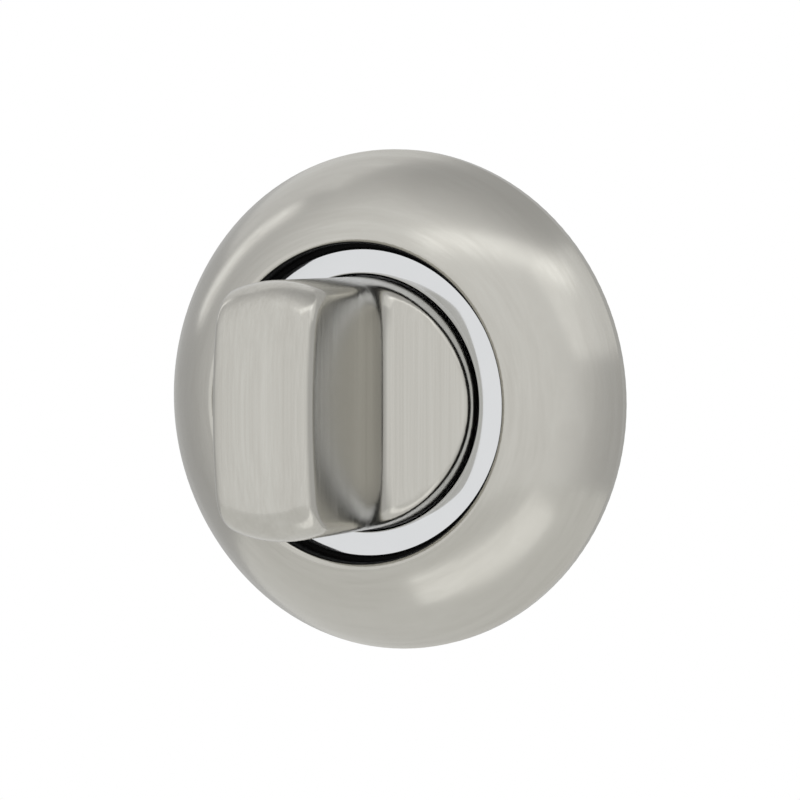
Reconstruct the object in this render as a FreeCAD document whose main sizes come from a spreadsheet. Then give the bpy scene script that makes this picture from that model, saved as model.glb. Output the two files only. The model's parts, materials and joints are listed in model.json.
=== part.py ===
import FreeCAD, Part
import math
import os
import Sketcher

# Inside half of a bathroom privacy lock: a domed rose with a thumb turn that works a square spindle.
# The door face is the plane y = 0, the turn's axis is Y, the front faces -Y and +Z is up.
# A height is the distance in front of the door face, so a point at a height lies at y = -height.

doc = FreeCAD.newDocument("thumb_turn")
dims = doc.addObject("Spreadsheet::Sheet", "dims")

sizes = {
    # rose cover: skirt, domed wall and the turned-in lip round its hole
    "rose_radius": 26.5,
    "rose_skirt": 1.2,
    "rose_height": 10.5,
    "dome_radius": 17.3,
    "cover_wall": 1.0,
    "lip_depth": 2.3,
    "hole_round": 0.5,
    "skirt_round": 0.3,
    # polished ring between the cover and the turn
    "turn_gap": 0.6,
    "ring_width": 2.5,
    "ring_gap": 0.4,
    "ring_sink": 1.1,
    "ring_crown": 9.0,
    "ring_fall": 0.3,
    "ring_bevel": 0.9,
    "bevel_drop": 0.4,
    "ring_flange": 1.0,
    "flange_reach": 0.3,
    "ring_outer_round": 0.35,
    "ring_inner_round": 0.2,
    # cast base plate under the cover
    "plate_thickness": 2.4,
    "plate_bevel": 1.0,
    "plate_clearance": 0.3,
    "floor_height": 5.4,
    "recess_gap": 2.4,
    "recess_depth": 2.2,
    "foot_round": 0.6,
    "core_wall": 1.6,
    "core_length": 3.8,
    "core_width": 6.0,
    "core_depth": 3.2,
    "core_count": 6,
    # snap ring that holds the cover on the plate's rim
    "wire_radius": 0.5,
    "wire_height": 0.75,
    "wire_bite": 0.2,
    "wire_clearance": 0.05,
    "wire_angle": 336,
    # wood screws through the plate
    "screw_inset": 6.2,
    "screw_radius": 2.0,
    "screw_length": 25.0,
    "screw_point": 5.0,
    "neck_radius": 1.45,
    "neck_behind": 0.3,
    "head_radius": 3.8,
    "head_clearance": 0.05,
    "hole_clearance": 0.25,
    "boss_radius": 4.5,
    "boss_height": 3.0,
    "scallop_radius": 4.2,
    "drive_span": 4.2,
    "drive_width": 1.0,
    "drive_depth": 1.5,
    # bearing of the shank
    "shank_radius": 6.0,
    "running_clearance": 0.04,
    "bush_wall": 1.46,
    "bush_flange_width": 1.0,
    "bush_flange": 0.7,
    "seat_clearance": 0.02,
    "spring_thickness": 0.3,
    "spring_height": 0.75,
    "spring_inset": 0.2,
    "axial_play": 0.05,
    "slide_thickness": 0.5,
    "washer_gap": 0.3,
    "thrust_thickness": 0.75,
    "thrust_reach": 1.1,
    # turn: drum, grip between two scoops, shank and stop lug
    "knob_radius": 13.2,
    "knob_height": 31.9,
    "front_radius": 60.0,
    "knob_crown": 4.2,
    "step_height": 8.6,
    "step_depth": 0.8,
    "grip_front": 5.62,
    "fold_width": 5.05,
    "fold_height": 13.75,
    "fold_round": 0.5,
    "base_radius": 40.0,
    "rim_height": 9.6,
    "grip_edge": 1.2,
    "shank_behind": 4.0,
    "lug_width": 3.0,
    "lug_inset": 0.4,
    "lug_depth": 1.7,
    "lug_clearance": 0.3,
    "stop_clearance": 0.05,
    "stop_depth": 1.3,
    # retaining ring in its groove on the shank
    "clip_thickness": 0.9,
    "clip_proud": 1.2,
    "clip_groove": 0.6,
    "clip_clearance": 0.05,
    "clip_opening": 2.6,
    "clip_lug": 1.3,
    "clip_hole": 0.55,
    # square spindle and the slotted pin that holds it in the shank
    "spindle_width": 6.0,
    "spindle_clearance": 0.05,
    "spindle_top": 15.0,
    "spindle_behind": 42.0,
    "spindle_chamfer": 0.6,
    "socket_spare": 0.5,
    "pin_behind": 2.2,
    "pin_radius": 1.0,
    "pin_wall": 0.3,
    "pin_sink": 0.5,
    "pin_slot": 0.4,
    "pin_clearance": 0.02,
    # how far a cutting outline runs past the solid that it cuts
    "cut_margin": 1.0,
}

for row, (alias, value) in enumerate(sizes.items(), 1):
    dims.set(f"A{row}", alias)
    dims.set(f"B{row}", str(value))
    dims.setAlias(f"B{row}", alias)
doc.recompute()

# Sizes and heights that follow from the driving dimensions
cover_inside = "dims.rose_radius - dims.cover_wall"
ring_bore = "dims.knob_radius + dims.turn_gap"
ring_radius = f"{ring_bore} + dims.ring_width"
hole_radius = f"{ring_radius} + dims.ring_gap"
flange_radius = f"{hole_radius} + dims.cover_wall + dims.flange_reach"
ring_height = "dims.rose_height - dims.ring_sink"
ring_edge = f"{ring_height} - dims.ring_fall"
bevel_bottom = f"{ring_height} - dims.bevel_drop"
lip_bottom = "dims.rose_height - dims.lip_depth"
ring_seat = f"{lip_bottom} - dims.ring_flange"
plate_radius = f"{cover_inside} - dims.plate_clearance"
wire_circle = f"{cover_inside} + dims.wire_bite - dims.wire_radius"
bush_bore = "dims.shank_radius + dims.running_clearance"
bush_radius = f"{bush_bore} + dims.bush_wall"
bush_flange_radius = f"{bush_radius} + dims.bush_flange_width"
spring_radius = f"{bush_flange_radius} - dims.spring_inset"
washer_bore = "dims.shank_radius + dims.washer_gap"
thrust_radius = f"{bush_radius} + dims.thrust_reach"
recess_radius = f"{thrust_radius} + dims.recess_gap"
core_outer = f"{flange_radius} - dims.core_wall"
core_inner = f"{core_outer} - dims.core_length"
flange_top = "dims.floor_height + dims.bush_flange"
slide_bottom = f"{flange_top} + dims.spring_height + dims.axial_play"
drum_back = f"{slide_bottom} + dims.slide_thickness"
step_radius = "dims.knob_radius - dims.step_depth"
front_fall = "dims.front_radius - sqrt(pow(dims.front_radius; 2) - pow(dims.knob_radius; 2))"
front_edge = f"dims.knob_height - ({front_fall})"
thrust_top = "dims.recess_depth - dims.axial_play"
clip_top = f"{thrust_top} - dims.thrust_thickness"
clip_bottom = f"{clip_top} - dims.clip_thickness"
groove_radius = "dims.shank_radius - dims.clip_groove"
clip_radius = "dims.shank_radius + dims.clip_proud"
lug_outer = f"{step_radius} - dims.lug_inset"
lug_inner = f"{lug_outer} - dims.lug_depth"
stop_floor = "dims.floor_height - dims.stop_depth"
stop_side = "dims.lug_width / 2 + dims.stop_clearance"
stop_inner = f"{lug_inner} - dims.lug_clearance"
stop_outer = f"sqrt(pow({lug_outer}; 2) + pow(dims.lug_width / 2; 2)) + dims.lug_clearance"
half_spindle = "dims.spindle_width / 2"
half_socket = f"{half_spindle} + dims.spindle_clearance"
screw_offset = f"{plate_radius} - dims.screw_inset"
screw_hole = "dims.screw_radius + dims.hole_clearance"
pin_length = "2 * (dims.shank_radius - dims.pin_sink)"

tolerance = 1e-4


def measure(text):
    return float(doc.dims.evalExpression(text.replace("dims.", "")))


def new_body(label):
    body = doc.addObject("PartDesign::Body", label)
    body.Label = label
    return body


def new_sketch(body, name, role, offset=None):
    item = body.newObject("Sketcher::SketchObject", f"{body.Label}_{name}")
    plane = next(part for part in body.Origin.OriginFeatures if part.Role == role)
    item.AttachmentSupport = [(plane, "")]
    item.MapMode = "FlatFace"
    if offset is not None:
        item.setExpression(".AttachmentOffset.Base.z", offset)
    return item


def bind(item, kind, references, text):
    index = item.addConstraint(Sketcher.Constraint(kind, *references, abs(measure(text))))
    item.setExpression(f"Constraints[{index}]", f"abs({text})")


def pin_point(item, curve, end, across, along):
    # A point is held by its distances from the sketch's origin, or by an axis where a distance is nought.
    for kind, axis, text in (("DistanceX", -2, across), ("DistanceY", -1, along)):
        value = measure(text)
        if abs(value) < tolerance:
            item.addConstraint(Sketcher.Constraint("PointOnObject", curve, end, axis))
        elif value > 0:
            bind(item, kind, (-1, 1, curve, end), text)
        else:
            bind(item, kind, (curve, end, -1, 1), text)


def add_circle(item, across, along, radius):
    centre = FreeCAD.Vector(measure(across), measure(along), 0)
    normal = FreeCAD.Vector(0, 0, 1)
    curve = item.addGeometry(Part.Circle(centre, normal, measure(radius)), False)
    pin_point(item, curve, 3, across, along)
    bind(item, "Radius", (curve,), radius)


def add_outline(item, corners):
    # A corner is (across, along). With a radius and a turn of 1 or -1 added, an arc that turns left or
    # right runs from it to the next corner instead of a line.
    spots = [FreeCAD.Vector(measure(corner[0]), measure(corner[1]), 0) for corner in corners]
    ends = []
    for number, corner in enumerate(corners):
        start = spots[number]
        finish = spots[(number + 1) % len(spots)]
        if len(corner) == 2:
            curve = item.addGeometry(Part.LineSegment(start, finish), False)
            ends.append((curve, 1, 2))
            continue
        radius = measure(corner[2])
        turn = corner[3]
        chord = finish - start
        rise = math.sqrt(radius ** 2 - (chord.Length / 2) ** 2)
        aside = FreeCAD.Vector(-chord.y, chord.x, 0).normalize() * rise * turn
        circle = Part.Circle((start + finish) / 2 + aside, FreeCAD.Vector(0, 0, 1), radius)
        first, last = (start, finish) if turn > 0 else (finish, start)
        arc = Part.ArcOfCircle(circle, circle.parameter(first), circle.parameter(last))
        curve = item.addGeometry(arc, False)
        bind(item, "Radius", (curve,), corner[2])
        ends.append((curve, 1, 2) if turn > 0 else (curve, 2, 1))
    for number, (curve, first, last) in enumerate(ends):
        after, entry, _ = ends[(number + 1) % len(ends)]
        item.addConstraint(Sketcher.Constraint("Coincident", curve, last, after, entry))
        pin_point(item, curve, first, corners[number][0], corners[number][1])


def section(body, name, corners):
    # Half section through the axis: radius across, height in front of the door along -Y.
    item = new_sketch(body, name, "XY_Plane")
    add_outline(item, [(radius, f"-({height})", *arc) for radius, height, *arc in corners])
    return item


def turn_about_axis(body, name, item, cut=False, angle="360"):
    kind = "Groove" if cut else "Revolution"
    feature = body.newObject(f"PartDesign::{kind}", f"{body.Label}_{name}")
    feature.Profile = item
    feature.ReferenceAxis = (item, ["V_Axis"])
    feature.Midplane = True
    feature.setExpression("Angle", angle)
    doc.recompute()
    return feature


def extrude(body, name, item, length=None, cut=False, backwards=False, both_ways=False):
    # A pad runs to the front and a pocket to the door, unless it goes backwards. No length means through all.
    kind = "Pocket" if cut else "Pad"
    feature = body.newObject(f"PartDesign::{kind}", f"{body.Label}_{name}")
    feature.Profile = item
    feature.Reversed = backwards
    if both_ways:
        feature.SideType = "Symmetric"
    if length is None:
        feature.Type = "ThroughAll"
    else:
        feature.setExpression("Length", length)
    doc.recompute()
    return feature


def dress(body, name, kind, feature, edges, text):
    finish = body.newObject(f"PartDesign::{kind}", f"{body.Label}_{name}")
    finish.Base = (feature, edges)
    finish.setExpression("Radius" if kind == "Fillet" else "Size", text)
    doc.recompute()
    return finish


def ring_edges(feature, rings):
    # Names of the circular edges round the Y direction with these radii and heights.
    names = []
    for number, edge in enumerate(feature.Shape.Edges, 1):
        if edge.Degenerated or not isinstance(edge.Curve, Part.Circle):
            continue
        for radius, height in rings:
            same_radius = abs(edge.Curve.Radius - measure(radius)) < tolerance
            if same_radius and abs(edge.Curve.Center.y + measure(height)) < tolerance:
                names.append(f"Edge{number}")
    return names


def nearest_edges(feature, across, height):
    # Names of the two edges that pass closest to points this far to either side of the axis, at this height.
    # The points lie a little above the XY plane, because the seam of a revolved face lies in it.
    names = []
    for side in (1, -1):
        spot = Part.Vertex(side * measure(across), -measure(height), measure("dims.cut_margin"))
        gaps = {}
        for number, edge in enumerate(feature.Shape.Edges, 1):
            if not edge.Degenerated:
                gaps[f"Edge{number}"] = spot.distToShape(edge)[0]
        names.append(min(gaps, key=gaps.get))
    return names


def washer(label, bottom, thickness, bore, radius):
    body = new_body(label)
    item = new_sketch(body, "ring", "XZ_Plane", bottom)
    add_circle(item, "0", "0", radius)
    add_circle(item, "0", "0", bore)
    extrude(body, "thickness", item, thickness)
    return body


def make_rose_cover():
    body = new_body("rose_cover")
    dome = section(body, "dome_section", [
        ("0", "0"),
        ("dims.rose_radius", "0"),
        ("dims.rose_radius", "dims.rose_skirt", "dims.dome_radius", -1),
        (hole_radius, "dims.rose_height"),
        ("0", "dims.rose_height"),
    ])
    solid = turn_about_axis(body, "dome", dome)
    back = next(
        f"Face{number}" for number, face in enumerate(solid.Shape.Faces, 1)
        if isinstance(face.Surface, Part.Plane) and abs(face.CenterOfMass.y) < tolerance
    )
    shell = body.newObject("PartDesign::Thickness", "rose_cover_shell")
    shell.Base = (solid, [back])
    shell.Join = "Intersection"
    shell.Reversed = True
    shell.setExpression("Value", "dims.cover_wall")
    doc.recompute()
    lip = section(body, "lip_section", [
        (hole_radius, lip_bottom),
        (f"{hole_radius} + dims.cover_wall", lip_bottom),
        (f"{hole_radius} + dims.cover_wall", "dims.rose_height - dims.cover_wall"),
        (hole_radius, "dims.rose_height - dims.cover_wall"),
    ])
    turn_about_axis(body, "lip", lip)
    hole = new_sketch(body, "hole", "XZ_Plane", "dims.rose_height + dims.cut_margin")
    add_circle(hole, "0", "0", hole_radius)
    opened = extrude(body, "hole_cut", hole, cut=True)
    rims = ring_edges(opened, [(hole_radius, "dims.rose_height")])
    eased = dress(body, "hole_edge", "Fillet", opened, rims, "dims.hole_round")
    rims = ring_edges(eased, [("dims.rose_radius", "0")])
    dress(body, "skirt_edge", "Fillet", eased, rims, "dims.skirt_round")
    groove = new_sketch(body, "wire_section", "XY_Plane")
    add_circle(groove, wire_circle, "-dims.wire_height", "dims.wire_radius + dims.wire_clearance")
    turn_about_axis(body, "wire_groove", groove, cut=True)
    return body


def make_trim_ring():
    body = new_body("trim_ring")
    outline = section(body, "ring_section", [
        (ring_bore, ring_seat),
        (flange_radius, ring_seat),
        (flange_radius, lip_bottom),
        (ring_radius, lip_bottom),
        (ring_radius, ring_edge, "dims.ring_crown", -1),
        (f"{ring_bore} + dims.ring_bevel", ring_height),
        (ring_bore, bevel_bottom),
    ])
    blank = turn_about_axis(body, "ring", outline)
    outer = ring_edges(blank, [(ring_radius, ring_edge)])
    eased = dress(body, "outer_edge", "Fillet", blank, outer, "dims.ring_outer_round")
    inner = ring_edges(eased, [(ring_bore, bevel_bottom)])
    dress(body, "inner_edge", "Fillet", eased, inner, "dims.ring_inner_round")
    return body


def make_base_plate():
    body = new_body("base_plate")
    hub_bore = f"{bush_radius} + dims.seat_clearance"
    outline = section(body, "plate_section", [
        (recess_radius, "0"),
        (plate_radius, "0"),
        (plate_radius, "dims.plate_thickness - dims.plate_bevel"),
        (f"{plate_radius} - dims.plate_bevel", "dims.plate_thickness"),
        (flange_radius, "dims.plate_thickness"),
        (flange_radius, ring_seat),
        (ring_bore, ring_seat),
        (ring_bore, "dims.floor_height"),
        (hub_bore, "dims.floor_height"),
        (hub_bore, "dims.recess_depth"),
        (recess_radius, "dims.recess_depth"),
    ])
    casting = turn_about_axis(body, "casting", outline)
    foot = ring_edges(casting, [(flange_radius, "dims.plate_thickness")])
    dress(body, "foot", "Fillet", casting, foot, "dims.foot_round")

    scallops = new_sketch(body, "scallops", "XZ_Plane", f"{ring_seat} + dims.cut_margin")
    bosses = new_sketch(body, "bosses", "XZ_Plane")
    holes = new_sketch(body, "screw_holes", "XZ_Plane", "dims.boss_height + dims.cut_margin")
    for side in ("", "-"):
        add_circle(scallops, "0", f"{side}({screw_offset})", "dims.scallop_radius")
        add_circle(bosses, "0", f"{side}({screw_offset})", "dims.boss_radius")
        add_circle(holes, "0", f"{side}({screw_offset})", screw_hole)
    drop = f"{ring_seat} + dims.cut_margin - dims.plate_thickness"
    extrude(body, "scallop_cut", scallops, drop, cut=True)
    extrude(body, "boss_pads", bosses, "dims.boss_height")
    drilled = extrude(body, "hole_cut", holes, cut=True)
    mouths = ring_edges(drilled, [(screw_hole, "dims.boss_height")])
    sink = f"dims.head_radius + dims.head_clearance - ({screw_hole})"
    dress(body, "countersinks", "Chamfer", drilled, mouths, sink)

    # Half-annular channel in which the turn's lug swings a quarter turn each way.
    channel = new_sketch(body, "stop_channel", "XZ_Plane", "dims.floor_height")
    outer_end = f"sqrt(pow({stop_outer}; 2) - pow({stop_side}; 2))"
    inner_end = f"sqrt(pow({stop_inner}; 2) - pow({stop_side}; 2))"
    add_outline(channel, [
        (f"-({outer_end})", stop_side, stop_outer, 1),
        ("0", f"-({stop_outer})", stop_outer, 1),
        (outer_end, stop_side),
        (inner_end, stop_side, stop_inner, -1),
        ("0", f"-({stop_inner})", stop_inner, -1),
        (f"-({inner_end})", stop_side),
    ])
    extrude(body, "stop_cut", channel, "dims.stop_depth", cut=True)

    # Cored pockets in the back keep the casting's walls even.
    core = new_sketch(body, "core", "XZ_Plane")
    half_core = "dims.core_width / 2"
    outer_side = f"sqrt(pow({core_outer}; 2) - pow({half_core}; 2))"
    inner_side = f"sqrt(pow({core_inner}; 2) - pow({half_core}; 2))"
    add_outline(core, [
        (inner_side, f"-{half_core}"),
        (outer_side, f"-{half_core}", core_outer, 1),
        (outer_side, half_core),
        (inner_side, half_core, core_inner, -1),
    ])
    pocket = extrude(body, "core_cut", core, "dims.core_depth", cut=True, backwards=True)
    cores = body.newObject("PartDesign::PolarPattern", "base_plate_cores")
    cores.Originals = [pocket]
    cores.Axis = (core, ["N_Axis"])
    cores.Angle = 360
    cores.setExpression("Occurrences", "dims.core_count")
    body.Tip = cores
    doc.recompute()

    groove = new_sketch(body, "wire_section", "XY_Plane")
    add_circle(groove, wire_circle, "-dims.wire_height", "dims.wire_radius + dims.wire_clearance")
    turn_about_axis(body, "wire_groove", groove, cut=True)
    return body


def make_cover_snap_ring():
    body = new_body("cover_snap_ring")
    wire = new_sketch(body, "wire_section", "XY_Plane")
    add_circle(wire, wire_circle, "-dims.wire_height", "dims.wire_radius")
    turn_about_axis(body, "wire", wire, angle="dims.wire_angle")
    return body


def make_fixing_screws():
    # Countersunk wood screw with a cross recess, then its twin below the axis.
    screw = new_body("fixing_screw")
    tip = "dims.boss_height - dims.screw_length"
    outline = section(screw, "screw_section", [
        ("0", "dims.boss_height"),
        ("dims.head_radius", "dims.boss_height"),
        ("dims.neck_radius", "dims.boss_height - dims.head_radius + dims.neck_radius"),
        ("dims.neck_radius", "-dims.neck_behind"),
        ("dims.screw_radius", "-dims.neck_behind"),
        ("dims.screw_radius", f"{tip} + dims.screw_point"),
        ("0", tip),
    ])
    turn_about_axis(screw, "blank", outline)
    recess = new_sketch(screw, "recess", "XZ_Plane", "dims.boss_height")
    reach = "dims.drive_span / 2"
    half = "dims.drive_width / 2"
    add_outline(recess, [
        (half, half), (half, reach), (f"-{half}", reach), (f"-{half}", half),
        (f"-{reach}", half), (f"-{reach}", f"-{half}"), (f"-{half}", f"-{half}"), (f"-{half}", f"-{reach}"),
        (half, f"-{reach}"), (half, f"-{half}"), (reach, f"-{half}"), (reach, half),
    ])
    extrude(screw, "drive", recess, "dims.drive_depth", cut=True)
    screw.setExpression(".Placement.Base.z", screw_offset)
    twin = doc.addObject("Part::Mirroring", "fixing_screw_twin")
    twin.Source = screw
    twin.Normal = FreeCAD.Vector(0, 0, 1)
    pair = doc.addObject("Part::Compound", "fixing_screws")
    pair.Links = [screw, twin]
    doc.recompute()
    return pair


def make_bearing_bush():
    body = new_body("bearing_bush")
    outline = section(body, "bush_section", [
        (bush_bore, "dims.recess_depth"),
        (bush_radius, "dims.recess_depth"),
        (bush_radius, "dims.floor_height"),
        (bush_flange_radius, "dims.floor_height"),
        (bush_flange_radius, flange_top),
        (bush_bore, flange_top),
    ])
    turn_about_axis(body, "bush", outline)
    return body


def make_friction_spring():
    # Coned washer that stands on the bush's flange, with its bore raised towards the turn.
    body = new_body("friction_spring")
    outline = section(body, "cone_section", [
        (spring_radius, flange_top),
        (spring_radius, f"{flange_top} + dims.spring_thickness"),
        (washer_bore, f"{flange_top} + dims.spring_height"),
        (washer_bore, f"{flange_top} + dims.spring_height - dims.spring_thickness"),
    ])
    turn_about_axis(body, "cone", outline)
    return body


def make_turn_knob():
    body = new_body("turn_knob")
    outline = section(body, "drum_section", [
        ("0", "-dims.shank_behind"),
        ("dims.shank_radius", "-dims.shank_behind"),
        ("dims.shank_radius", drum_back),
        (step_radius, drum_back),
        (step_radius, "dims.step_height"),
        ("dims.knob_radius", "dims.step_height"),
        ("dims.knob_radius", front_edge, "dims.front_radius", -1),
        ("0", "dims.knob_height"),
    ])
    drum = turn_about_axis(body, "drum", outline)
    corner = ring_edges(drum, [("dims.knob_radius", front_edge)])
    dress(body, "crown", "Fillet", drum, corner, "dims.knob_crown")

    # Two scoops leave the upright grip: an almost straight wall, a fold and a base that falls to the rim.
    scoops = new_sketch(body, "scoops", "XY_Plane")
    outside = "dims.knob_radius + dims.cut_margin"
    above = "dims.knob_height + dims.cut_margin"
    for side, turn in (("", 1), ("-", -1)):
        add_outline(scoops, [
            (f"{side}dims.fold_width", "-dims.fold_height", "dims.base_radius", turn),
            (f"{side}({outside})", "-dims.rim_height"),
            (f"{side}({outside})", f"-({above})"),
            (f"{side}dims.grip_front", f"-({above})"),
            (f"{side}dims.grip_front", "-dims.knob_height"),
        ])
    scooped = extrude(body, "scoop_cut", scoops, cut=True, both_ways=True)
    folds = nearest_edges(scooped, "dims.fold_width", "dims.fold_height")
    folded = dress(body, "folds", "Fillet", scooped, folds, "dims.fold_round")
    rims = nearest_edges(folded, "dims.grip_front", "dims.knob_height")
    dress(body, "grip_edges", "Fillet", folded, rims, "dims.grip_edge")

    socket = new_sketch(body, "socket", "XZ_Plane", "dims.spindle_top + dims.socket_spare")
    add_outline(socket, [
        (half_socket, half_socket),
        (f"-({half_socket})", half_socket),
        (f"-({half_socket})", f"-({half_socket})"),
        (half_socket, f"-({half_socket})"),
    ])
    extrude(body, "socket_cut", socket, cut=True)

    lug = new_sketch(body, "stop_lug", "XZ_Plane", drum_back)
    half_lug = "dims.lug_width / 2"
    add_outline(lug, [
        (half_lug, f"-({lug_inner})"),
        (f"-{half_lug}", f"-({lug_inner})"),
        (f"-{half_lug}", f"-({lug_outer})"),
        (half_lug, f"-({lug_outer})"),
    ])
    reach = f"{drum_back} - ({stop_floor}) - dims.lug_clearance"
    extrude(body, "lug_pad", lug, reach, backwards=True)

    groove = section(body, "clip_section", [
        (groove_radius, f"{clip_bottom} - dims.clip_clearance"),
        ("dims.shank_radius + dims.cut_margin", f"{clip_bottom} - dims.clip_clearance"),
        ("dims.shank_radius + dims.cut_margin", f"{clip_top} + dims.clip_clearance"),
        (groove_radius, f"{clip_top} + dims.clip_clearance"),
    ])
    turn_about_axis(body, "clip_groove", groove, cut=True)
    cut_pin_hole(body)
    return body


def cut_pin_hole(body):
    hole = new_sketch(body, "pin_hole", "YZ_Plane")
    add_circle(hole, "dims.pin_behind", "0", "dims.pin_radius + dims.pin_clearance")
    extrude(body, "pin_cut", hole, cut=True, both_ways=True)


def make_spindle():
    body = new_body("spindle")
    square = new_sketch(body, "square", "XZ_Plane", "dims.spindle_top")
    add_outline(square, [
        (half_spindle, half_spindle),
        (f"-{half_spindle}", half_spindle),
        (f"-{half_spindle}", f"-{half_spindle}"),
        (half_spindle, f"-{half_spindle}"),
    ])
    bar = extrude(body, "bar", square, "dims.spindle_top + dims.spindle_behind", backwards=True)
    ends = []
    for number, edge in enumerate(bar.Shape.Edges, 1):
        if edge.BoundBox.YLength < tolerance:
            ends.append(f"Edge{number}")
    dress(body, "end_chamfers", "Chamfer", bar, ends, "dims.spindle_chamfer")
    cut_pin_hole(body)
    return body


def make_spindle_pin():
    # Rolled spring pin, open along one side.
    body = new_body("spindle_pin")
    roll = new_sketch(body, "roll", "YZ_Plane")
    add_circle(roll, "dims.pin_behind", "0", "dims.pin_radius")
    add_circle(roll, "dims.pin_behind", "0", "dims.pin_radius - dims.pin_wall")
    extrude(body, "length", roll, pin_length, both_ways=True)
    slot = new_sketch(body, "slot", "YZ_Plane")
    add_outline(slot, [
        ("dims.pin_behind", "-dims.pin_slot / 2"),
        ("dims.pin_behind + dims.pin_radius + dims.cut_margin", "-dims.pin_slot / 2"),
        ("dims.pin_behind + dims.pin_radius + dims.cut_margin", "dims.pin_slot / 2"),
        ("dims.pin_behind", "dims.pin_slot / 2"),
    ])
    extrude(body, "slot_cut", slot, cut=True, both_ways=True)
    return body


def make_retaining_ring():
    # External circlip: an open ring with two eared ends.
    body = new_body("retaining_ring")
    ring = new_sketch(body, "ring", "XZ_Plane", clip_bottom)
    add_circle(ring, "0", "0", clip_radius)
    add_circle(ring, "0", "0", f"{groove_radius} + dims.clip_clearance")
    extrude(body, "blank", ring, "dims.clip_thickness")
    ears = new_sketch(body, "ears", "XZ_Plane", clip_bottom)
    eyes = new_sketch(body, "eyes", "XZ_Plane", clip_top)
    ear_across = "dims.clip_opening / 2 + dims.clip_lug"
    for side in ("", "-"):
        add_circle(ears, f"{side}({ear_across})", clip_radius, "dims.clip_lug")
        add_circle(eyes, f"{side}({ear_across})", clip_radius, "dims.clip_hole")
    extrude(body, "ear_pads", ears, "dims.clip_thickness")
    extrude(body, "eye_cut", eyes, cut=True)
    gap = new_sketch(body, "gap", "XZ_Plane", clip_top)
    beyond = f"{clip_radius} + dims.clip_lug + dims.cut_margin"
    half_gap = "dims.clip_opening / 2"
    add_outline(gap, [
        (f"-{half_gap}", "0"),
        (half_gap, "0"),
        (half_gap, beyond),
        (f"-{half_gap}", beyond),
    ])
    extrude(body, "gap_cut", gap, cut=True)
    return body


pieces = [
    make_base_plate(),
    make_bearing_bush(),
    make_friction_spring(),
    make_trim_ring(),
    make_rose_cover(),
    make_cover_snap_ring(),
    make_fixing_screws(),
    make_turn_knob(),
    washer("slide_washer", slide_bottom, "dims.slide_thickness", washer_bore, spring_radius),
    washer("thrust_washer", clip_top, "dims.thrust_thickness", washer_bore, thrust_radius),
    make_retaining_ring(),
    make_spindle(),
    make_spindle_pin(),
]
doc.recompute()

for item in doc.Objects:
    if "Invalid" in item.State or "Error" in item.State:
        raise RuntimeError(f"{item.Label} did not build: {item.State}")

os.makedirs("parts", exist_ok=True)
for piece in pieces:
    shape = piece.Shape
    if shape.isNull() or not shape.isValid() or not shape.Solids:
        raise RuntimeError(f"{piece.Label} has no valid solid")
    shape.exportStep(f"parts/{piece.Label}.step")
    print(f"{piece.Label}: {len(shape.Solids)} solid(s), {shape.Volume:.2f} cubic mm")
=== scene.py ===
import json
import math

import bpy
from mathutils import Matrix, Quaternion, Vector


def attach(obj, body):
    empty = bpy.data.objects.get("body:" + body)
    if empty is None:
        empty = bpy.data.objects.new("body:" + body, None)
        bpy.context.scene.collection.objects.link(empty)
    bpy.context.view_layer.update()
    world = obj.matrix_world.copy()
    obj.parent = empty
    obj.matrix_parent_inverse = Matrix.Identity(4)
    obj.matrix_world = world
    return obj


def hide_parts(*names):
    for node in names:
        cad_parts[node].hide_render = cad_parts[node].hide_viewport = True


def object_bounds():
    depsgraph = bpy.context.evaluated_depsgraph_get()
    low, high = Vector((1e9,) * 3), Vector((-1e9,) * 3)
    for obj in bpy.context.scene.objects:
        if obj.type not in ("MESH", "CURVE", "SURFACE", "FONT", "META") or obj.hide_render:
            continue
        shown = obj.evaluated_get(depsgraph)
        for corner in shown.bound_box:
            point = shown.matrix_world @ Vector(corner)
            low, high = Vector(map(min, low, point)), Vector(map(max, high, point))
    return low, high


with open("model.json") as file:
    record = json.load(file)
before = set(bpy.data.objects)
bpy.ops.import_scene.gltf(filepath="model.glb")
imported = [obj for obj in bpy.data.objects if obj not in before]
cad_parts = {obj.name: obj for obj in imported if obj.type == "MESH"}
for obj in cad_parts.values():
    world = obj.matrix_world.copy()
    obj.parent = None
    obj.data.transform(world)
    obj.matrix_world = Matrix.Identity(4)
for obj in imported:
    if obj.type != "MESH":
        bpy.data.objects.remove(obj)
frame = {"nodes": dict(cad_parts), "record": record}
cadLow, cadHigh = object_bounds()
mm = 0.001
weldDistance = 0.0005 * mm
turnedAngle = 28
print("frame loaded:", len(frame["nodes"]), "pieces")


def pointAt(azimuth, elevation, distance):
    # azimuth 0 is straight in front of the door, 90 to the right of it
    a, e = math.radians(azimuth), math.radians(elevation)
    return Vector((math.sin(a) * math.cos(e), -math.cos(a) * math.cos(e), math.sin(e))) * distance


def deselectAll():
    if bpy.context.object and bpy.context.object.mode != "OBJECT":
        bpy.ops.object.mode_set(mode="OBJECT")
    bpy.ops.object.select_all(action="DESELECT")


def selectOnly(piece):
    deselectAll()
    piece.select_set(True)
    bpy.context.view_layer.objects.active = piece


def applyPlace():
    bpy.ops.object.transform_apply(location=True, rotation=True, scale=True)


def smoothByAngle(degrees):
    bpy.ops.object.shade_smooth_by_angle(angle=math.radians(degrees))


# Camera: a long lens from the front right, a little above the axis
photoWidth = 800
cameraSetup = {
    "azimuth": 26.2,
    "elevation": 2.9,
    "distance": 0.45,
    "lens": 190.5,
    "shiftX": 2 / photoWidth,
    "shiftY": -1 / photoWidth,
    "clipStart": 0.01,
}


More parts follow.
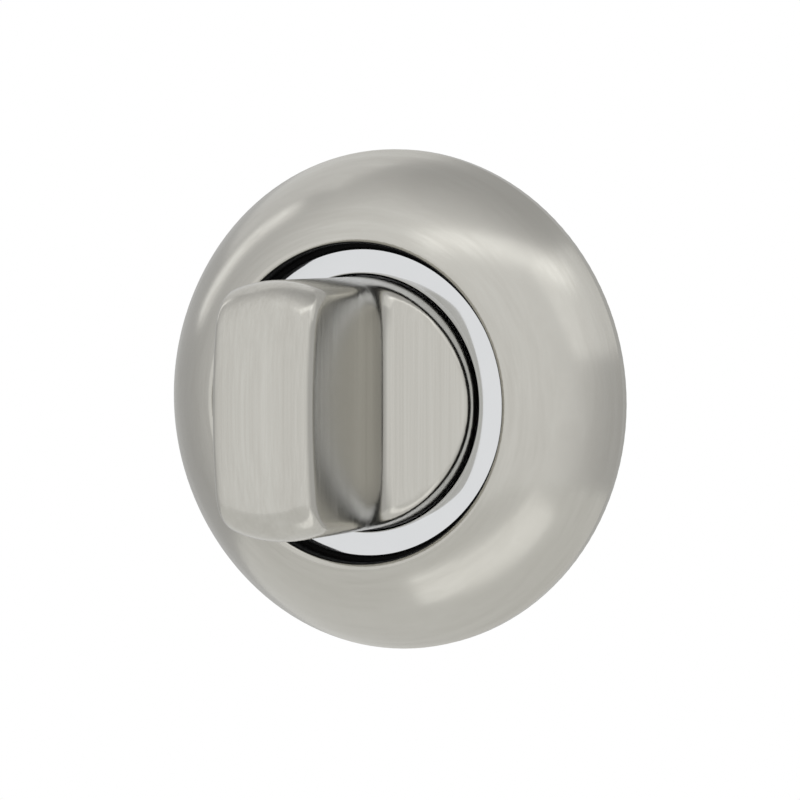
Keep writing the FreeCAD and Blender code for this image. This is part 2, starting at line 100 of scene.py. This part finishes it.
def addCamera(setup):
    place = pointAt(setup["azimuth"], setup["elevation"], setup["distance"])
    deselectAll()
    bpy.ops.object.camera_add(location=place, rotation=place.to_track_quat("Z", "Y").to_euler())
    camera = bpy.context.object
    camera.name = "photoCamera"
    camera.data.lens = setup["lens"]
    camera.data.shift_x = setup["shiftX"]
    camera.data.shift_y = setup["shiftY"]
    camera.data.clip_start = setup["clipStart"]
    bpy.context.scene.camera = camera


addCamera(cameraSetup)
print("camera placed")


# Shader helpers
noiseSpan = (0.3, 0.7)


def newGroup(name, inputs, outputs):
    # inputs are (name, type, default), outputs are (name, type)
    group = bpy.data.node_groups.new(name, "ShaderNodeTree")
    for socketName, kind, default in inputs:
        socket = group.interface.new_socket(socketName, in_out="INPUT", socket_type=f"NodeSocket{kind}")
        if default is not None:
            socket.default_value = default
    for socketName, kind in outputs:
        group.interface.new_socket(socketName, in_out="OUTPUT", socket_type=f"NodeSocket{kind}")
    return group, group.nodes.new("NodeGroupInput"), group.nodes.new("NodeGroupOutput")


def put(tree, socket, value):
    # links a socket, or sets a plain value
    if isinstance(value, bpy.types.NodeSocket):
        tree.links.new(value, socket)
    elif value is not None:
        socket.default_value = value


def math2(tree, operation, a, b=None):
    node = tree.nodes.new("ShaderNodeMath")
    node.operation = operation
    put(tree, node.inputs[0], a)
    put(tree, node.inputs[1], b)
    return node.outputs[0]


def blend(tree, first, second, share):
    # a share of the first value, the rest from the second
    return math2(
        tree, "ADD",
        math2(tree, "MULTIPLY", first, share),
        math2(tree, "MULTIPLY", second, 1 - share))


def mapRange(tree, value, fromLow, fromHigh, toLow, toHigh, smooth=False):
    node = tree.nodes.new("ShaderNodeMapRange")
    node.interpolation_type = "SMOOTHSTEP" if smooth else "LINEAR"
    for number, item in enumerate((value, fromLow, fromHigh, toLow, toHigh)):
        put(tree, node.inputs[number], item)
    return node.outputs[0]


def spread(tree, value, low, high):
    # stretches the middle of a noise over the span from low to high
    return mapRange(tree, value, *noiseSpan, low, high)


def mixColour(tree, factor, first, second):
    node = tree.nodes.new("ShaderNodeMix")
    node.data_type = "RGBA"
    put(tree, node.inputs["Factor"], factor)
    put(tree, node.inputs[6], first)
    put(tree, node.inputs[7], second)
    return node.outputs[2]


def noise(tree, vector, scale, detail=3.0, roughness=0.5):
    node = tree.nodes.new("ShaderNodeTexNoise")
    put(tree, node.inputs["Vector"], vector)
    put(tree, node.inputs["Scale"], scale)
    node.inputs["Detail"].default_value = detail
    node.inputs["Roughness"].default_value = roughness
    return node.outputs[0]


def splitAxes(tree, vector):
    node = tree.nodes.new("ShaderNodeSeparateXYZ")
    put(tree, node.inputs[0], vector)
    return node.outputs


def radiusOf(tree, axes):
    # distance from the turn's axis
    return math2(tree, "SQRT", math2(
        tree, "ADD",
        math2(tree, "MULTIPLY", axes["X"], axes["X"]),
        math2(tree, "MULTIPLY", axes["Z"], axes["Z"])))


# Studio: a white tent in front, a grey room behind, five soft boxes
studio = {
    "tentLight": 1.0,
    "roomLight": 0.62,
    "tentEdge": (-0.6, 0.25),
    "fillLight": 0.9,
    "leftShade": 0.88,
    "leftEdge": (-0.45, -0.9),
    "topShade": {"azimuth": 100, "elevation": 81, "light": 0.88, "edge": (0.86, 0.92)},
    "floorDrop": 72 * mm,
    "floorRadius": 0.17,
    "floorColour": (0.86, 0.86, 0.85, 1),
    "floorRough": 0.8,
    "floorSides": 96,
}
# lowBox stands close to the object, because the floor would hide it further off
softBoxes = {
    "overheadBox": {
        "azimuth": 46, "elevation": 57, "distance": 0.6,
        "width": 0.85, "height": 0.13, "roll": -6, "light": 0.52,
    },
    "rightBox": {
        "azimuth": 92, "elevation": 33, "distance": 0.6,
        "width": 0.45, "height": 0.42, "roll": 0, "light": 0.32,
    },
    "lowBox": {
        "azimuth": 43, "elevation": -57, "distance": 0.085,
        "width": 0.085, "height": 0.032, "roll": 46, "light": 0.38,
    },
    "leftBox": {
        "azimuth": -132, "elevation": 42, "distance": 0.6,
        "width": 0.5, "height": 0.45, "roll": 0, "light": 0.26,
    },
    "leftStrip": {
        "azimuth": -97, "elevation": 27, "distance": 0.6,
        "width": 0.09, "height": 0.37, "roll": -13, "light": 0.85,
    },
}


def buildWorld(setup):
    world = bpy.data.worlds.new("studioWorld")
    bpy.context.scene.world = world
    world.use_nodes = True
    tree = world.node_tree
    tree.nodes.clear()
    output = tree.nodes.new("ShaderNodeOutputWorld")
    direction = tree.nodes.new("ShaderNodeTexCoord").outputs["Generated"]

    axes = splitAxes(tree, direction)
    tent = mapRange(tree, axes["Y"], *setup["tentEdge"], setup["tentLight"], setup["roomLight"], smooth=True)
    left = mapRange(tree, axes["X"], *setup["leftEdge"], 1, setup["leftShade"], smooth=True)
    shade = setup["topShade"]
    upwards = tree.nodes.new("ShaderNodeVectorMath")
    upwards.operation = "DOT_PRODUCT"
    put(tree, upwards.inputs[0], direction)
    upwards.inputs[1].default_value = pointAt(shade["azimuth"], shade["elevation"], 1)
    top = mapRange(tree, upwards.outputs["Value"], *shade["edge"], 1, shade["light"], smooth=True)
    seen = math2(tree, "MULTIPLY", tent, math2(tree, "MULTIPLY", left, top))

    # the camera sees plain white, metal sees the tent and the room, and the rest gets an even fill
    path = tree.nodes.new("ShaderNodeLightPath")
    mirrored = math2(tree, "MAXIMUM", path.outputs["Is Glossy Ray"], path.outputs["Is Transmission Ray"])
    backdrop = math2(tree, "MAXIMUM", seen, path.outputs["Is Camera Ray"])
    isSeen = math2(tree, "MAXIMUM", mirrored, path.outputs["Is Camera Ray"])
    level = mapRange(tree, isSeen, 0, 1, setup["fillLight"], backdrop)
    background = tree.nodes.new("ShaderNodeBackground")
    background.inputs["Color"].default_value = (1, 1, 1, 1)
    put(tree, background.inputs["Strength"], level)
    put(tree, output.inputs["Surface"], background.outputs[0])


def addSoftBoxes(boxes):
    for name, box in boxes.items():
        place = pointAt(box["azimuth"], box["elevation"], box["distance"])
        deselectAll()
        turned = place.to_track_quat("Z", "Y") @ Quaternion((0, 0, 1), math.radians(box["roll"]))
        bpy.ops.object.light_add(type="AREA", location=place, rotation=turned.to_euler())
        lamp = bpy.context.object
        lamp.name = name
        lamp.data.shape = "RECTANGLE"
        lamp.data.size = box["width"]
        lamp.data.size_y = box["height"]
        lamp.data.energy = box["light"] * math.pi * box["width"] * box["height"]
        lamp.visible_camera = False


def addFloor(setup):
    deselectAll()
    bpy.ops.mesh.primitive_circle_add(
        vertices=setup["floorSides"], radius=setup["floorRadius"], fill_type="NGON",
        location=(0, 0, cadLow.z - setup["floorDrop"]))
    floor = bpy.context.object
    floor.name = "paleFloor"
    material = bpy.data.materials.new("paleFloor")
    material.use_nodes = True
    shader = material.node_tree.nodes["Principled BSDF"]
    shader.inputs["Base Color"].default_value = setup["floorColour"]
    shader.inputs["Roughness"].default_value = setup["floorRough"]
    floor.data.materials.append(material)


buildWorld(studio)
addSoftBoxes(softBoxes)
addFloor(studio)
bpy.context.scene.view_settings.view_transform = "Standard"
print("studio built:", len(softBoxes), "soft boxes")


# Shared effects
def buildBrushMarks():
    # fine parallel marks of a brushing belt; the vector is already stretched along the marks
    group, given, result = newGroup(
        "brushMarks",
        [("Vector", "Vector", None), ("Fine Scale", "Float", 1.0), ("Broad Scale", "Float", 0.2)],
        [("Marks", "Float"), ("Bands", "Float")],
    )
    fine = noise(group, given.outputs["Vector"], given.outputs["Fine Scale"], 4, 0.65)
    broad = noise(group, given.outputs["Vector"], given.outputs["Broad Scale"], 2)
    put(group, result.inputs["Marks"], spread(group, fine, 0, 1))
    put(group, result.inputs["Bands"], spread(group, broad, 0, 1))
    return group


def buildLatheCoordinates():
    # turns object coordinates into steps across and along the marks of a part brushed on a lathe about Y
    group, given, result = newGroup(
        "latheCoordinates",
        [("Object", "Vector", None), ("Turns Stretch", "Float", 0.01)],
        [("Vector", "Vector")],
    )
    axes = splitAxes(group, given.outputs["Object"])
    across = radiusOf(group, axes)
    # unit direction round the axis keeps the marks free of a seam
    aroundX = math2(group, "DIVIDE", axes["X"], across)
    aroundZ = math2(group, "DIVIDE", axes["Z"], across)
    joined = group.nodes.new("ShaderNodeCombineXYZ")
    put(group, joined.inputs[0], math2(group, "MULTIPLY", aroundX, given.outputs["Turns Stretch"]))
    put(group, joined.inputs[1], math2(group, "SUBTRACT", across, axes["Y"]))
    put(group, joined.inputs[2], math2(group, "MULTIPLY", aroundZ, given.outputs["Turns Stretch"]))
    put(group, result.inputs["Vector"], joined.outputs[0])
    return group


brushMarks = buildBrushMarks()
latheCoordinates = buildLatheCoordinates()


def newMaterial(name):
    material = bpy.data.materials.new(name)
    material.use_nodes = True
    tree = material.node_tree
    place = tree.nodes.new("ShaderNodeTexCoord").outputs["Object"]
    return material, tree, tree.nodes["Principled BSDF"], place


def useGroup(tree, group, **values):
    node = tree.nodes.new("ShaderNodeGroup")
    node.node_tree = group
    for name, value in values.items():
        put(tree, node.inputs[name], value)
    return node


def bump(tree, shader, height, strength, distance):
    node = tree.nodes.new("ShaderNodeBump")
    node.inputs["Strength"].default_value = strength
    node.inputs["Distance"].default_value = distance
    put(tree, node.inputs["Height"], height)
    put(tree, shader.inputs["Normal"], node.outputs[0])


# Satin nickel: warm grey plating over fine brush marks, with painted shade (near black) in the dark recesses
# round the ring
satinNickel = {
    "light": (0.565, 0.555, 0.515, 1),
    "dark": (0.485, 0.472, 0.432, 1),
    "markShare": 0.55,
    "markScale": 2600,
    "bandScale": 420,
    "markBump": (0.25, 0.008 * mm),
    # painted shade: this near-black colour stands in for the shade in the recesses
    "paintedShade": (0.012, 0.012, 0.012, 1),
    "paintedShadeRough": 0.6,
}
turnFinish = {
    "rough": (0.16, 0.25),
    "stretch": (1, 1, 0.012),
    # painted shade on the knob's side below the ring's face
    "recess": {"radius": 14, "bottom": 7, "top": 9.0, "blur": 0.08},
}
roseFinish = {
    "rough": (0.17, 0.26),
    "turnsStretch": 0.0008,
    # painted shade on the wall of the cover's hole round the ring
    "recess": {"radius": 16.86, "bottom": 7, "top": 10.36, "blur": 0.04},
}


def paintedShadeInRecess(tree, place, recess):
    # painted shade mask: 1 inside the recess's radius and between its heights, 0 elsewhere
    axes = splitAxes(tree, place)
    blur = recess["blur"]

    def step(value, limit, low, high):
        return mapRange(tree, value, (limit - blur) * mm, (limit + blur) * mm, low, high, smooth=True)

    inner = step(radiusOf(tree, axes), recess["radius"], 1, 0)
    below = step(axes["Y"], -recess["top"], 0, 1)
    above = step(axes["Y"], -recess["bottom"], 1, 0)
    return math2(tree, "MULTIPLY", inner, math2(tree, "MULTIPLY", below, above))


def finishSatin(tree, shader, place, vector, finish):
    marks = useGroup(tree, brushMarks, **{
        "Vector": vector, "Fine Scale": satinNickel["markScale"], "Broad Scale": satinNickel["bandScale"]})
    # painted shade darkens the plating inside the recess
    paintedShade = paintedShadeInRecess(tree, place, finish["recess"])
    tone = blend(tree, marks.outputs["Marks"], marks.outputs["Bands"], satinNickel["markShare"])
    plated = mixColour(tree, tone, satinNickel["dark"], satinNickel["light"])
    put(tree, shader.inputs["Base Color"], mixColour(tree, paintedShade, plated, satinNickel["paintedShade"]))
    smoothest, roughest = finish["rough"]
    brushed = mapRange(tree, marks.outputs["Marks"], 0, 1, roughest, smoothest)
    put(tree, shader.inputs["Roughness"], mapRange(tree, paintedShade, 0, 1, brushed, satinNickel["paintedShadeRough"]))
    shader.inputs["Metallic"].default_value = 1
    bump(tree, shader, marks.outputs["Marks"], *satinNickel["markBump"])


def satinNickelTurn():
    # marks run up and down the grip
    material, tree, shader, place = newMaterial("satinNickelTurn")
    stretch = tree.nodes.new("ShaderNodeMapping")
    put(tree, stretch.inputs["Vector"], place)
    stretch.inputs["Scale"].default_value = turnFinish["stretch"]
    finishSatin(tree, shader, place, stretch.outputs[0], turnFinish)
    return material


def satinNickelRose():
    # marks run round the dome
    material, tree, shader, place = newMaterial("satinNickelRose")
    lathe = useGroup(tree, latheCoordinates, **{"Object": place, "Turns Stretch": roseFinish["turnsStretch"]})
    finishSatin(tree, shader, place, lathe.outputs[0], roseFinish)
    return material


# Polished chrome: faint smudges, and painted shade on the flange under the cover's lip
chromeFinish = {
    "dark": (0.67, 0.68, 0.69, 1),
    "light": (0.71, 0.72, 0.73, 1),
    "rough": (0.04, 0.09),
    "smudgeScale": 160,
    "grainScale": 900,
    "grainBump": (0.04, 0.002 * mm),
    "flangeShadeEdge": (16.14 * mm, 16.24 * mm),
}


def polishedChrome(finish):
    material, tree, shader, place = newMaterial("polishedChrome")
    smudge = noise(tree, place, finish["smudgeScale"])
    chrome = mixColour(tree, smudge, finish["dark"], finish["light"])
    across = radiusOf(tree, splitAxes(tree, place))
    # painted shade on the flange under the cover's lip, where shade falls in the gap
    flange = mapRange(tree, across, *finish["flangeShadeEdge"], 0, 1, smooth=True)
    put(tree, shader.inputs["Base Color"], mixColour(tree, flange, chrome, satinNickel["paintedShade"]))
    polish = spread(tree, smudge, *finish["rough"])
    put(tree, shader.inputs["Roughness"], mapRange(tree, flange, 0, 1, polish, satinNickel["paintedShadeRough"]))
    shader.inputs["Metallic"].default_value = 1
    bump(tree, shader, noise(tree, place, finish["grainScale"], 2), *finish["grainBump"])
    return material


# Cast zinc: the skin as it leaves the die, with flow marks
zincFinish = {
    "dark": (0.36, 0.365, 0.37, 1),
    "light": (0.60, 0.605, 0.61, 1),
    "rough": (0.36, 0.55),
    "skinScale": 700,
    "flowScale": 90,
    "skinBump": (0.35, 0.03 * mm),
}


def castZinc(finish):
    material, tree, shader, place = newMaterial("castZinc")
    skin = noise(tree, place, finish["skinScale"], 5, 0.6)
    flow = noise(tree, place, finish["flowScale"])
    tone = blend(tree, skin, flow, 0.5)
    put(tree, shader.inputs["Base Color"], mixColour(tree, tone, finish["dark"], finish["light"]))
    put(tree, shader.inputs["Roughness"], spread(tree, skin, *finish["rough"]))
    shader.inputs["Metallic"].default_value = 1
    bump(tree, shader, skin, *finish["skinBump"])
    return material


# Zinc plate: bright, clouded from bluish to yellowish
plateFinish = {
    "blue": (0.60, 0.62, 0.66, 1),
    "yellow": (0.70, 0.68, 0.60, 1),
    "rough": (0.24, 0.38),
    "cloudScale": 220,
    "grainScale": 1800,
    "grainBump": (0.08, 0.01 * mm),
}


def zincPlate(finish):
    material, tree, shader, place = newMaterial("zincPlate")
    cloud = noise(tree, place, finish["cloudScale"])
    grain = noise(tree, place, finish["grainScale"])
    put(tree, shader.inputs["Base Color"], mixColour(tree, cloud, finish["blue"], finish["yellow"]))
    put(tree, shader.inputs["Roughness"], spread(tree, grain, *finish["rough"]))
    shader.inputs["Metallic"].default_value = 1
    bump(tree, shader, grain, *finish["grainBump"])
    return material


# Spring steel: dark, with a film of oil
springFinish = {
    "dark": (0.085, 0.085, 0.09, 1),
    "light": (0.19, 0.185, 0.18, 1),
    "rough": (0.22, 0.42),
    "oilScale": 260,
    "grainScale": 2400,
    "grainBump": (0.12, 0.008 * mm),
}


def springSteel(finish):
    material, tree, shader, place = newMaterial("springSteel")
    oil = noise(tree, place, finish["oilScale"], 4)
    put(tree, shader.inputs["Base Color"], mixColour(tree, oil, finish["dark"], finish["light"]))
    put(tree, shader.inputs["Roughness"], spread(tree, oil, *finish["rough"]))
    shader.inputs["Metallic"].default_value = 1
    bump(tree, shader, noise(tree, place, finish["grainScale"]), *finish["grainBump"])
    return material


# Black nylon: moulded, with a fine grain
nylonFinish = {
    "dark": (0.018, 0.018, 0.02, 1),
    "light": (0.04, 0.04, 0.043, 1),
    "rough": (0.38, 0.55),
    "grainScale": 1500,
    "grainBump": (0.2, 0.015 * mm),
}


def blackNylon(finish):
    material, tree, shader, place = newMaterial("blackNylon")
    grain = noise(tree, place, finish["grainScale"], 4, 0.6)
    put(tree, shader.inputs["Base Color"], mixColour(tree, grain, finish["dark"], finish["light"]))
    put(tree, shader.inputs["Roughness"], spread(tree, grain, *finish["rough"]))
    bump(tree, shader, grain, *finish["grainBump"])
    return material


# Trim ring: turned, with a crowned face that falls away outwards and a flange under the cover's lip
trimRing = {
    "bore": 13.35,
    "radius": 16.25,
    "flange": 16.95,
    "flangeStep": 0.02,
    "seat": 7.2,
    "crest": (13.6, 8.65),
    "crown": 12.0,
    "edgeRound": 0.3,
    "steps": 256,
    "faceSteps": 12,
    "roundSteps": 7,
}


def turnSection(name, section, steps, solid=False):
    # a circle drawn out along (radius, height) points about the turn's axis:
    # a hollow ring, or a solid from end to end
    deselectAll()
    radius, height = section[0]
    bpy.ops.mesh.primitive_circle_add(
        vertices=steps, radius=radius * mm, fill_type="NGON" if solid else "NOTHING",
        location=(0, -height * mm, 0), rotation=(math.pi / 2, 0, 0))
    applyPlace()
    piece = bpy.context.object
    piece.name = piece.data.name = name
    bpy.ops.object.mode_set(mode="EDIT")
    bpy.ops.mesh.select_all(action="SELECT")
    for nextRadius, nextHeight in section[1:] if solid else section[1:] + section[:1]:
        bpy.ops.mesh.extrude_region_move(TRANSFORM_OT_translate={"value": (0, (height - nextHeight) * mm, 0)})
        grow = nextRadius / radius
        bpy.ops.transform.resize(value=(grow, 1, grow), center_override=(0, 0, 0))
        radius, height = nextRadius, nextHeight
    bpy.ops.mesh.select_all(action="SELECT")
    bpy.ops.mesh.remove_doubles(threshold=weldDistance)
    bpy.ops.mesh.normals_make_consistent(inside=False)
    bpy.ops.object.mode_set(mode="OBJECT")
    smoothByAngle(turnedAngle)
    return piece


def modelTrimRing(size):
    bore, edge = size["bore"], size["edgeRound"]
    crestRadius, crestHeight = size["crest"]
    faceWidth = size["radius"] - bore - 2 * edge
    face = []
    for step in range(size["faceSteps"] + 1):
        radius = bore + edge + faceWidth * step / size["faceSteps"]
        fall = size["crown"] - math.sqrt(size["crown"] ** 2 - (radius - crestRadius) ** 2)
        face.append((radius, crestHeight - fall))
    inner, outer = [], []
    for step in range(size["roundSteps"]):
        turn = math.pi / 2 * step / size["roundSteps"]
        inset, drop = edge * (1 - math.cos(turn)), edge * (1 - math.sin(turn))
        inner.append((bore + inset, face[0][1] - drop))
        outer.append((size["radius"] - inset, face[-1][1] - drop))
    section = [(bore, size["seat"])] + inner + face + outer[::-1]
    section += [(size["flange"], outer[0][1] - size["flangeStep"]), (size["flange"], size["seat"])]
    return turnSection("trimRing", section, size["steps"])


# Turn: the cast solid, with the front's folds and their ends eased as the polishing wheel leaves them
# each ease is a list of (reach, passes), so that it fades out instead of ending in a mark
turnKnob = {
    "parting": 8.7,
    "partingBand": 0.1,
    "grain": 0.22,
    "backAngle": 32,
    "frontAngle": 40,
    "easeFactor": 0.5,
    "evenPasses": 6,
    "drumSide": 12.95,
    "fold": (5.3, 14.0),
    "foldEase": [(5.0, 6), (4.5, 8), (4.0, 12), (3.5, 18), (3.0, 24), (2.5, 24)],
    "foldEnd": 12.6,
    "endEase": [(6.5, 4), (6.0, 6), (5.5, 8), (5.0, 12), (4.5, 18), (4.0, 30), (3.5, 40), (3.0, 50)],
    "endBlend": [(5.5, 4), (5.0, 6), (4.4, 8), (3.8, 10), (3.2, 12), (2.6, 14)],
}


def copyNode(node, name):
    selectOnly(node)
    bpy.ops.object.duplicate(linked=False)
    piece = bpy.context.object
    piece.name = piece.data.name = name
    bpy.ops.mesh.customdata_custom_splitnormals_clear()
    bpy.ops.object.mode_set(mode="EDIT")
    bpy.ops.mesh.select_all(action="SELECT")
    bpy.ops.mesh.remove_doubles(threshold=weldDistance)
    bpy.ops.object.mode_set(mode="OBJECT")
    return piece


def keepSide(height, front):
    # cuts the active piece at a height and keeps its front or its back
    bpy.ops.object.mode_set(mode="EDIT")
    bpy.ops.mesh.select_all(action="SELECT")
    bpy.ops.mesh.bisect(plane_co=(0, -height * mm, 0), plane_no=(0, 1, 0), use_fill=True,
                        clear_outer=front, clear_inner=not front)
    bpy.ops.object.mode_set(mode="OBJECT")


def easeWhere(piece, near, passes):
    # smooths the vertices for which near(x, height, z) holds, in mm
    bpy.context.tool_settings.mesh_select_mode = (True, False, False)
    for vertex in piece.data.vertices:
        vertex.select = near(vertex.co.x / mm, -vertex.co.y / mm, vertex.co.z / mm)
    bpy.ops.object.mode_set(mode="EDIT")
    bpy.ops.mesh.vertices_smooth(factor=turnKnob["easeFactor"], repeat=passes)
    bpy.ops.mesh.select_all(action="DESELECT")
    bpy.ops.object.mode_set(mode="OBJECT")


def modelTurnKnob(node, size):
    back = copyNode(node, "turnKnob")
    keepSide(size["parting"], front=False)
    smoothByAngle(size["backAngle"])
    front = copyNode(node, "turnFront")
    keepSide(size["parting"], front=True)
    skin = front.modifiers.new("castSkin", "REMESH")
    skin.mode = "VOXEL"
    skin.voxel_size = size["grain"] * mm
    bpy.ops.object.modifier_apply(modifier=skin.name)

    foldX, foldHeight = size["fold"]
    foldEnd = (foldX, foldHeight, size["foldEnd"])

    def inDrum(x, z):
        return math.hypot(x, z) < size["drumSide"]

    def toFold(x, h):
        return math.hypot(abs(x) - foldX, h - foldHeight)

    def toEnd(x, h, z):
        return math.dist((abs(x), h, abs(z)), foldEnd)

    easeWhere(front, lambda x, h, z: h > size["parting"] + size["partingBand"], size["evenPasses"])
    for reach, passes in size["foldEase"]:
        easeWhere(front, lambda x, h, z: inDrum(x, z) and toFold(x, h) < reach, passes)
    for reach, passes in size["endEase"]:
        easeWhere(front, lambda x, h, z: inDrum(x, z) and toEnd(x, h, z) < reach, passes)
    for reach, passes in size["endBlend"]:
        easeWhere(front, lambda x, h, z: toEnd(x, h, z) < reach, passes)
    smoothByAngle(size["frontAngle"])
    selectOnly(back)
    front.select_set(True)
    bpy.ops.object.join()
    return back


# Fixing screws: countersunk wood screws with a cross recess
fixingScrew = {
    "spread": 19.0,
    "section": [
        (3.75, 3.0), (3.8, 2.9), (3.8, 2.8), (1.45, 0.62),
        (1.45, -0.4), (1.3, -0.7), (1.3, -17.0), (0.04, -22.0),
    ],
    "steps": 48,
    "recess": (4.2, 1.0, 1.5),
    "recessTaper": 0.7,
    "crest": 2.0,
    "ridge": 0.5,
    "pitch": 1.5,
    "threadFrom": 0.9,
    "turns": 13,
    "turnSteps": 28,
    "pointFrom": 17.0,
    "pointTo": 22.0,
    "pointSlim": 0.95,
    "pointSlices": 25,
    "angle": 30,
}


def cutRecess(core, size):
    head = size["section"][0][1]
    length, width, depth = size["recess"]
    taper = size["recessTaper"]
    for across, upright in ((length, width), (width, length)):
        deselectAll()
        bpy.ops.mesh.primitive_cube_add(
            size=mm, location=(0, -head * mm, 0), scale=(across, 2 * depth, upright))
        applyPlace()
        cutter = bpy.context.object
        bpy.ops.object.mode_set(mode="EDIT")
        bpy.ops.mesh.select_all(action="DESELECT")
        bpy.ops.object.mode_set(mode="OBJECT")
        # the end that lies deeper in the head is the smaller one
        for face in cutter.data.polygons:
            face.select = face.normal.y > 0.9
        bpy.ops.object.mode_set(mode="EDIT")
        bpy.ops.transform.resize(value=(taper, 1, taper), center_override=(0, 0, 0))
        bpy.ops.object.mode_set(mode="OBJECT")
        bpy.context.view_layer.objects.active = core
        cut = core.modifiers.new("recess", "BOOLEAN")
        cut.operation = "DIFFERENCE"
        cut.object = cutter
        bpy.ops.object.modifier_apply(modifier=cut.name)
        bpy.data.objects.remove(cutter)


def windThread(size):
    # a three-cornered ridge wound round the shank, drawn in towards the point
    deselectAll()
    bpy.ops.mesh.primitive_circle_add(
        vertices=3, radius=size["ridge"] * mm,
        location=((size["crest"] - size["ridge"]) * mm, size["threadFrom"] * mm, 0),
        rotation=(0, 0, -math.pi / 2))
    applyPlace()
    thread = bpy.context.object
    wind = thread.modifiers.new("wind", "SCREW")
    wind.axis = "Y"
    wind.screw_offset = size["pitch"] * mm
    wind.iterations = size["turns"]
    wind.steps = wind.render_steps = size["turnSteps"]
    bpy.ops.object.modifier_apply(modifier=wind.name)
    bpy.context.tool_settings.mesh_select_mode = (True, False, False)
    slices = size["pointSlices"]
    pointLength = size["pointTo"] - size["pointFrom"]
    for step in range(slices):
        low = size["pointFrom"] + pointLength * step / slices
        high = size["pointFrom"] + pointLength * (step + 1) / slices
        for vertex in thread.data.vertices:
            vertex.select = low <= vertex.co.y / mm < high
        bpy.ops.object.mode_set(mode="EDIT")
        slim = 1 - size["pointSlim"] * (step + 0.5) / slices
        bpy.ops.transform.resize(value=(slim, 1, slim), center_override=(0, 0, 0))
        bpy.ops.mesh.select_all(action="DESELECT")
        bpy.ops.object.mode_set(mode="OBJECT")
    bpy.ops.object.mode_set(mode="EDIT")
    bpy.ops.mesh.select_non_manifold()
    bpy.ops.mesh.fill()
    bpy.ops.mesh.select_all(action="SELECT")
    bpy.ops.mesh.normals_make_consistent(inside=False)
    bpy.ops.object.mode_set(mode="OBJECT")
    return thread


def modelScrew(size):
    core = turnSection("fixingScrew", size["section"], size["steps"], solid=True)
    cutRecess(core, size)
    thread = windThread(size)
    selectOnly(core)
    thread.select_set(True)
    bpy.ops.object.join()
    smoothByAngle(size["angle"])
    return core


def placeScrews(screw, size, finish):
    selectOnly(screw)
    bpy.ops.object.duplicate(linked=False)
    screws = {"upperScrew": screw, "lowerScrew": bpy.context.object}
    for (name, piece), side in zip(screws.items(), (1, -1)):
        piece.name = piece.data.name = name
        selectOnly(piece)
        piece.location.z = side * size["spread"] * mm
        applyPlace()
        piece.data.materials.append(finish)
        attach(piece, "rose")
        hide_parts("fixing_screws")


finishes = {
    "cast_zinc": castZinc(zincFinish),
    "zinc_plate": zincPlate(plateFinish),
    "spring_steel": springSteel(springFinish),
    "nylon": blackNylon(nylonFinish),
    "polished_chrome": polishedChrome(chromeFinish),
}
ownFinishes = {"turn_knob": satinNickelTurn(), "rose_cover": satinNickelRose()}
for part in frame["record"]["subparts"]:
    node = frame["nodes"][part["node"]]
    node.material_slots[0].material = ownFinishes.get(part["node"]) or finishes[part["material_slot"]]
print("finishes:", len(finishes) + len(ownFinishes))

ring = modelTrimRing(trimRing)
ring.data.materials.append(finishes["polished_chrome"])
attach(ring, "rose")
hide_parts("trim_ring")
print("trim ring turned:", len(ring.data.polygons), "faces")

knob = modelTurnKnob(frame["nodes"]["turn_knob"], turnKnob)
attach(knob, "turn")
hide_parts("turn_knob")
print("turn eased:", len(knob.data.polygons), "faces")

placeScrews(modelScrew(fixingScrew), fixingScrew, finishes["zinc_plate"])
